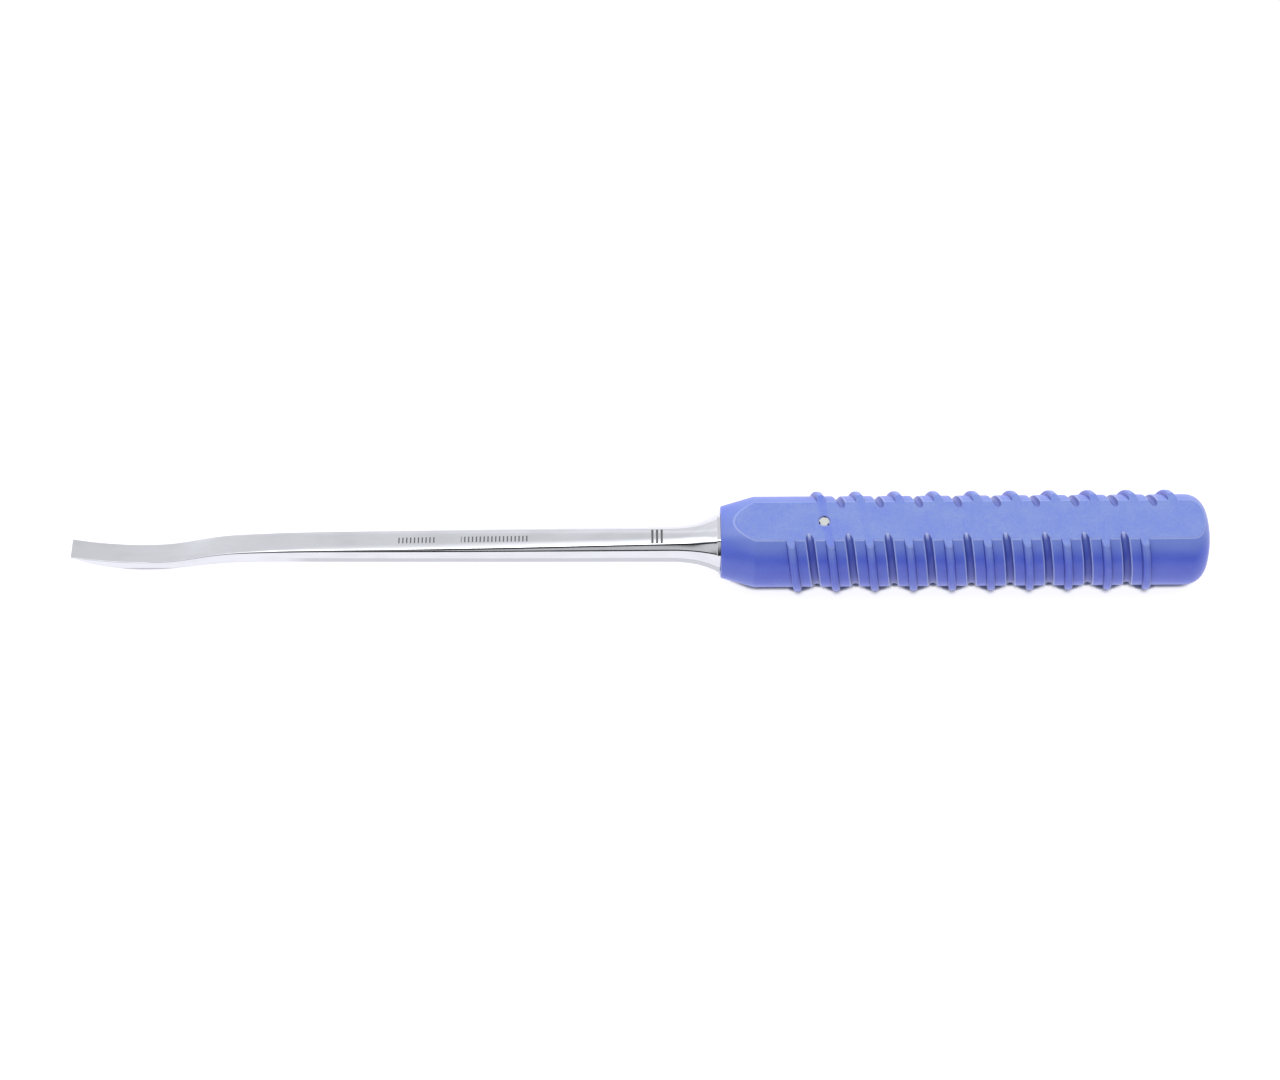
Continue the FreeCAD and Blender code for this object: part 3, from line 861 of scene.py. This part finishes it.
@dataclass
class Forging:
    """Blade, S-bend, eight-sided shank, trumpet flare, collar and tang, all one piece of steel."""

    grip: Grip
    node: str = "blade_shank"
    name: str = "forging"
    collar: Section = Section(-1.05, 6.75, -7.65, 13.2, 3.0, 0.0)
    stations: tuple[Section, ...] = (
        Section(-1.05, 6.55, -7.45, 12.8, 2.9, 0.55),
        Section(-3.9, 5.05, -6.7, 10.35, 2.3, 0.5),
        Section(-7.4, 3.85, -6.05, 8.45, 1.72, 0.42),
        Section(-12.0, 3.33, -5.7, 7.6, 1.5, 0.32),
        Section(-20.8, 3.1, -5.55, 7.5, 1.4, 0.25),
        Section(-57.0, 2.45, -5.0, 7.2, 0.95, 0.2),
        Section(-85.0, 1.95, -4.62, 6.75, 0.68, 0.15),
        Section(-108.0, 1.6, -4.3, 6.3, 0.48, 0.12),
        Section(-115.2, 1.3, -4.22, 6.15, 0.44, 0.1),
        Section(-121.2, 0.88, -4.22, 6.0, 0.34, 0.07),
        Section(-127.2, 0.3, -4.4, 5.85, 0.24, 0.05),
        Section(-133.2, -1.08, -5.3, 5.75, 0.15, 0.04),
        Section(-139.2, -2.9, -6.55, 5.65, 0.14, 0.03),
        Section(-145.2, -4.05, -7.65, 5.55, 0.13, 0.02),
        Section(-151.2, -4.18, -7.8, 5.5, 0.12, 0.02),
        Section(-157.2, -3.63, -6.95, 5.5, 0.12, 0.02),
        Section(-163.2, -2.56, -5.05, 5.5, 0.12, 0.02),
        Section(-168.08, -1.12, -1.33, 5.48, 0.06, 0.0),
    )
    smooth_from: float = -100.0
    smooth_reach: float = 4.5
    upper_round: float = 0.55
    lower_round: float = 0.62
    round_points: int = 6
    side_lean: float = 0.38
    collar_break: float = 0.12
    tang_diameter: float = 9.0
    tang_length: float = 112.0
    tang_chamfer: float = 1.0
    spacing: float = 1.0

    def between(self, place: float) -> Section:
        """The section at any place, by a smooth curve through the stations that never overshoots."""
        stations = sorted(self.stations, key=lambda section: section.place)
        place = min(max(place, stations[0].place), stations[-1].place)
        number = next(n for n in range(len(stations) - 1) if place <= stations[n + 1].place)
        gaps = [b.place - a.place for a, b in zip(stations, stations[1:])]
        gap = gaps[number]
        t = (place - stations[number].place) / gap
        sizes = []
        for size in range(len(stations[0].sizes())):
            values = [section.sizes()[size] for section in stations]
            slopes = [(b - a) / g for a, b, g in zip(values, values[1:], gaps)]
            start, end = self.tangent(slopes, gaps, number), self.tangent(slopes, gaps, number + 1)
            a, b = values[number], values[number + 1]
            sizes.append(
                a * (2 * t ** 3 - 3 * t ** 2 + 1) + b * (3 * t ** 2 - 2 * t ** 3)
                + gap * (start * (t ** 3 - 2 * t ** 2 + t) + end * (t ** 3 - t ** 2)))
        return Section(place, *sizes)

    def smoothed(self, place: float) -> Section:
        """The section at any place, averaged over its neighbours in the bend and the blade."""
        reach = min((self.smooth_from - place) * 0.6, self.smooth_reach, place - self.stations[-1].place)
        if reach <= 0:
            return self.between(place)
        offsets = [reach * step / 4 for step in range(-4, 5)]
        weights = [1 + math.cos(math.pi * step / 5) for step in range(-4, 5)]
        parts = [self.between(place + offset).sizes() for offset in offsets]
        sizes = [sum(w * v for w, v in zip(weights, values)) / sum(weights) for values in zip(*parts)]
        return Section(place, *sizes)

    @staticmethod
    def tangent(slopes: Sequence[float], gaps: Sequence[float], number: int) -> float:
        """Slope of the smooth curve at a station: the harmonic mean of its two sides' slopes."""
        if number == 0 or number == len(slopes):
            return slopes[min(number, len(slopes) - 1)]
        before, after = slopes[number - 1], slopes[number]
        if before * after <= 0:
            return 0.0
        first, second = 2 * gaps[number] + gaps[number - 1], gaps[number] + 2 * gaps[number - 1]
        return (first + second) / (first / before + second / after)

    def quarter(self, section: Section, upper: bool) -> list[Point]:
        """Points of a section from the middle of its upper or lower face to the middle of its side.

        Args:
            section: the section.
            upper: whether it is the upper half.

        Returns:
            Points across and up, with both edges of the chamfer rounded.
        """
        sign = 1.0 if upper else -1.0
        face = section.upper if upper else section.lower
        half, middle = section.width / 2, (section.upper + section.lower) / 2
        inner = half - section.chamfer
        lean = 0.0 if upper else min(self.side_lean, section.chamfer * 0.6)
        shoulder = (inner, face - sign * section.crown)
        elbow = (half - lean, face - sign * (section.chamfer - lean * 0.4))
        top = [(inner * step / 6, face - sign * section.crown * (step / 6) ** 2) for step in range(6)]
        side = (half, middle)
        return (
            top + self.rounded(top[-1], shoulder, elbow, self.upper_round)
            + self.rounded(shoulder, elbow, side, self.lower_round) + [side])

    def rounded(self, before: Point, corner: Point, after: Point, reach: float) -> list[Point]:
        """A corner of an outline cut back on both sides and rounded by a short curve.

        Args:
            before: the outline's point before the corner.
            corner: the corner.
            after: the outline's point after it.
            reach: how far the curve reaches from the corner, at most.

        Returns:
            The curve's points.
        """
        spot, back, on = Vector(corner), Vector(before), Vector(after)
        reach = min(reach, (back - spot).length * 0.9, (on - spot).length * 0.4)
        start = spot + (back - spot).normalized() * reach
        end = spot + (on - spot).normalized() * reach
        points = []
        for step in range(self.round_points):
            t = step / (self.round_points - 1)
            point = start * (1 - t) ** 2 + spot * 2 * t * (1 - t) + end * t ** 2
            points.append((point.x, point.y))
        return points

    def ring(self, section: Section) -> list[Vector]:
        """A whole section as points in metres, clockwise from the middle of its upper face."""
        upper, lower = self.quarter(section, True), self.quarter(section, False)
        right = upper + list(reversed(lower))[1:]
        left = [(-y, z) for y, z in reversed(right)][1:-1]
        x = self.grip.front + section.place * MM
        return [Vector((x, y * MM, self.grip.axis_z + z * MM)) for y, z in right + left]

    def round_ring(self, place: float, radius: float, count: int) -> list[Vector]:
        """A ring of the tang, with the same number of points as a section."""
        x = self.grip.front + place * MM
        turns = [2 * math.pi * step / count for step in range(count)]
        return [
            Vector((x, radius * math.sin(t) * MM, self.grip.axis_z + radius * math.cos(t) * MM))
            for t in turns]

    def rings(self) -> list[list[Vector]]:
        """All rings from the blade's edge to the tang's end."""
        first, last = self.stations[-1].place, self.stations[0].place
        count = round((last - first) / self.spacing)
        places = [first + (last - first) * step / count for step in range(count + 1)]
        rings = [self.ring(self.smoothed(place)) for place in places]
        collar, edge = self.collar, self.collar_break
        full = collar.sizes()
        small = (collar.upper - edge, collar.lower + edge, collar.width - 2 * edge, collar.chamfer, 0.0)
        places = collar.place, collar.place + edge, -edge, 0.0
        for place, sizes in zip(places, (small, full, full, small)):
            rings.append(self.ring(Section(place, *sizes)))
        radius, chamfer = self.tang_diameter / 2, self.tang_chamfer
        for place, size in (
                (0.0, radius), (self.tang_length - chamfer, radius), (self.tang_length, radius - chamfer)):
            rings.append(self.round_ring(place, size, len(rings[0])))
        return rings

    def build(self, material: Material) -> Object:
        """Skin the rings, close both ends and let the mesh stand for the CAD node."""
        rings = self.rings()
        points = len(rings[0])
        vertices = [point for ring in rings for point in ring]
        faces = []
        for ring in range(len(rings) - 1):
            for spot in range(points):
                following = (spot + 1) % points
                low, high = ring * points, (ring + 1) * points
                faces.append((low + spot, low + following, high + following, high + spot))
        faces.append(tuple(range(points)))
        faces.append(tuple(reversed(range(len(vertices) - points, len(vertices)))))
        mesh = bpy.data.meshes.new(self.name)
        mesh.from_pydata(vertices, [], faces)
        piece = add_object(self.name, mesh)
        dress(piece, material)
        settle(piece, 38.0)
        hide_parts(self.node)
        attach(piece, BODY)
        return piece


# ---- Studio ----


@dataclass
class Studio:
    """Pale table, soft overhead light, a graded sky and the camera.

    Lengths are in metres, the lens's own two sizes in millimetres, and angles in degrees.

    A grade of the sky is an angle, from the horizon behind the object over the top to the one in front of
    it, and the sky's brightness there. Dark grades give the ground facets of the steel their dark lines.
    """

    grip: Grip
    elevation: float = 59.3
    distance: float = 0.630
    focal_length: float = 68.45462
    sensor: float = 36.0
    aim_ahead: float = 0.0208
    aim_above: float = 0.00067
    roll: float = 0.35
    sky_grades: tuple[tuple[float, float], ...] = (
        (0.0, 0.86), (36.0, 0.86), (42.0, 1.0), (51.0, 0.79), (66.0, 0.78), (73.0, 1.35), (90.0, 1.6),
        (103.0, 1.3), (107.0, 0.03), (131.0, 0.03), (136.0, 0.62), (147.0, 0.66), (152.0, 0.03),
        (179.0, 0.03), (180.0, 0.2))
    sky_strength: float = 2.0
    sky_slope: float = 0.3
    sky_blue: float = 1.03
    floor_size: float = 60.0
    floor_colour: Colour = (0.24, 0.24, 0.25, 1.0)
    floor_glow: Colour = (0.97, 0.96, 1.0, 1.0)
    floor_shade: Colour = (0.03, 0.035, 0.07, 1.0)
    glow_strength: float = 0.95
    contact_reach: float = 0.0021
    lamp_place: tuple[float, float, float] = (-0.08, -0.06, 0.9)
    lamp_aim: tuple[float, float, float] = (-0.08, 0.0, 0.0)
    lamp_size: tuple[float, float] = (0.7, 0.3)
    lamp_power: float = 1.3

    def build(self) -> None:
        """Make everything that isn't the object."""
        self.floor()
        self.sky()
        self.lamp()
        self.camera()
        bpy.context.scene.view_settings.view_transform = "Standard"

    def floor(self) -> None:
        """A plain white table top, glowing evenly, with a contact shadow painted into its glow right under
        the object.
        """
        mesh = bpy.data.meshes.new("table")
        reach = self.floor_size / 2
        spots = [(-reach, -reach, 0.0), (reach, -reach, 0.0), (reach, reach, 0.0), (-reach, reach, 0.0)]
        mesh.from_pydata(spots, [], [(0, 1, 2, 3)])
        table = add_object("table", mesh)
        surface = Surface("table_white", {
            "Roughness": 0.9, "Specular IOR Level": 0.1, "Base Color": self.floor_colour,
            "Emission Strength": self.glow_strength})
        # Painted shadow: ambient occlusion within a short reach dims the table's glow right under the
        # object.
        open_sky = surface.node(
            "ShaderNodeAmbientOcclusion", {"samples": 12}, {"Distance": self.contact_reach}).value("AO")
        glow = surface.mix_colour(open_sky.step(0.5, 0.85), self.floor_shade, self.floor_glow)
        surface.feed(surface.shader.node.inputs["Emission Color"], glow)
        dress(table, surface.material)

    def sky(self) -> None:
        """Light all round, graded from behind the object over the top to the front."""
        world = bpy.data.worlds.new("studio")
        bpy.context.scene.world = world
        world.use_nodes = True
        tree = Tree(world.node_tree)
        direction = tree.node("ShaderNodeTexCoord").out("Generated")
        split = tree.node("ShaderNodeSeparateXYZ", None, {0: direction})
        over = tree.math("ARCTAN2", split.value(2), split.value(1)) / math.pi
        ramp = tree.ramp(over, [
            (angle / 180, (grade / 2, grade / 2, grade / 2 * self.sky_blue))
            for angle, grade in self.sky_grades])
        strength = self.sky_strength - split.value(0) * self.sky_slope
        shine = tree.node("ShaderNodeBackground", None, {"Color": ramp, "Strength": strength})
        tree.node("ShaderNodeOutputWorld", None, {"Surface": shine})

    def lamp(self) -> None:
        """One large soft box overhead, a little in front of the object."""
        lamp = bpy.data.lights.new("overhead", "AREA")
        lamp.shape = "RECTANGLE"
        lamp.size, lamp.size_y = self.lamp_size
        lamp.energy = self.lamp_power
        light = add_object("overhead", lamp)
        light.location = self.lamp_place
        light.rotation_mode = "QUATERNION"
        aim = Vector(self.lamp_aim) - Vector(self.lamp_place)
        light.rotation_quaternion = aim.to_track_quat("-Z", "Y")

    def camera(self) -> None:
        """The camera looks down across the instrument, square to its length."""
        tilt = math.radians(self.elevation)
        back = Vector((0.0, -math.cos(tilt), math.sin(tilt)))
        up = Vector((0.0, math.sin(tilt), math.cos(tilt)))
        aim = Vector((self.grip.front - self.aim_ahead, 0.0, self.grip.axis_z)) + up * self.aim_above
        lens = bpy.data.cameras.new("camera")
        lens.sensor_width = self.sensor
        lens.lens = self.focal_length
        lens.clip_start, lens.clip_end = 0.01, 20.0
        camera = add_object("camera", lens)
        turn = Matrix.Rotation(math.radians(-self.roll), 4, back)
        rotation = turn.to_3x3() @ Matrix((Vector((1.0, 0.0, 0.0)), up, back)).transposed()
        camera.matrix_world = Matrix.Translation(aim + back * self.distance) @ rotation.to_4x4()
        bpy.context.scene.camera = camera


# ---- Assembly ----


def steel_finish(grip: Grip) -> Material:
    """The forging's finish, with its etched marks and painted shade placed from the grip's front face and
    axis.
    """
    def at(*places: float) -> tuple[float, ...]:
        """Places ahead of the grip's front face, from millimetres."""
        return tuple(grip.front - place * MM for place in places)
    etching = Etching(
        groups=(at(83.5, 73.5), at(67.0, 49.5)), bars=at(15.2, 16.4, 17.6), floor_z=grip.axis_z + 1.4 * MM)
    return GroundSteel(
        "ground_steel", etching, lower_shade_z=grip.axis_z - 1.55 * MM, shade_end_x=grip.front - 108 * MM,
        belly_z=grip.axis_z - 6.95 * MM).material()


def main() -> None:
    """Build the instrument and the studio."""
    logging.basicConfig(level=logging.INFO, format="%(name)s: %(message)s")
    grip = Grip()
    polymer = GripPolymer(
        "grip_polymer", grip.front, grip.axis_z, grip.half_flats, grip.rib_start * MM, grip.pitch * MM,
        grip.nose_length * MM)
    pin = PinSteel("pin_steel", grip.front + grip.pin_place * MM)
    builders: list[tuple[str, Callable[[], Object]]] = [
        ("forging", lambda: Forging(grip).build(steel_finish(grip))),
        ("grip", lambda: grip.build(polymer.material())),
        ("pin", lambda: dress_node("cross_pin", pin.material())),
        ("bond", lambda: dress_node("tang_bond", CuredBond("cured_bond").material())),
    ]
    for name, build in builders:
        LOG.info("%s is in place as %s", name, build().name)
    Studio(grip).build()


if __name__ == "__main__":
    main()
